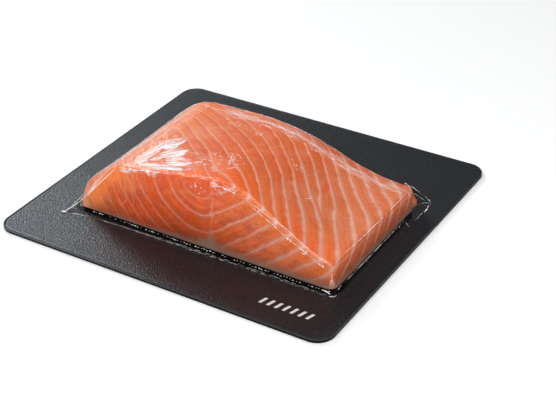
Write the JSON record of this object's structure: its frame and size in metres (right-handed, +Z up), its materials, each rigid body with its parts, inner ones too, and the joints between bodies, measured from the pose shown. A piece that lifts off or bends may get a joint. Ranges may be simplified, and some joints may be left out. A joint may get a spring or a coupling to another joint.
{
  "type": "skin pack of salmon fillet",
  "caption": "Thick cut of salmon fillet on a flat black board with rounded corners, sealed down by a clear skin-tight film drawn out to points at its corners.",
  "frame": {"origin": "middle of the board's underside, on the surface that the pack lies on", "axes": "+X along the board's long side, towards the fillet's thin cut side; +Y from the fillet's tall front cut towards its rounded back; +Z up, through the thickness"},
  "size_m": [0.187, 0.17, 0.0439],
  "materials": {
    "black_board": "black coated board, fine leather-like grain, satin",
    "salmon_flesh": "raw salmon flesh, moist, orange with pale pink seams between the flakes",
    "clear_film": "thin clear glossy film, pulled tight, lightly wrinkled"
  },
  "bodies": {
    "root": {"board": "black_board", "fillet": "salmon_flesh", "film": "clear_film"}
  },
  "joints": []
}
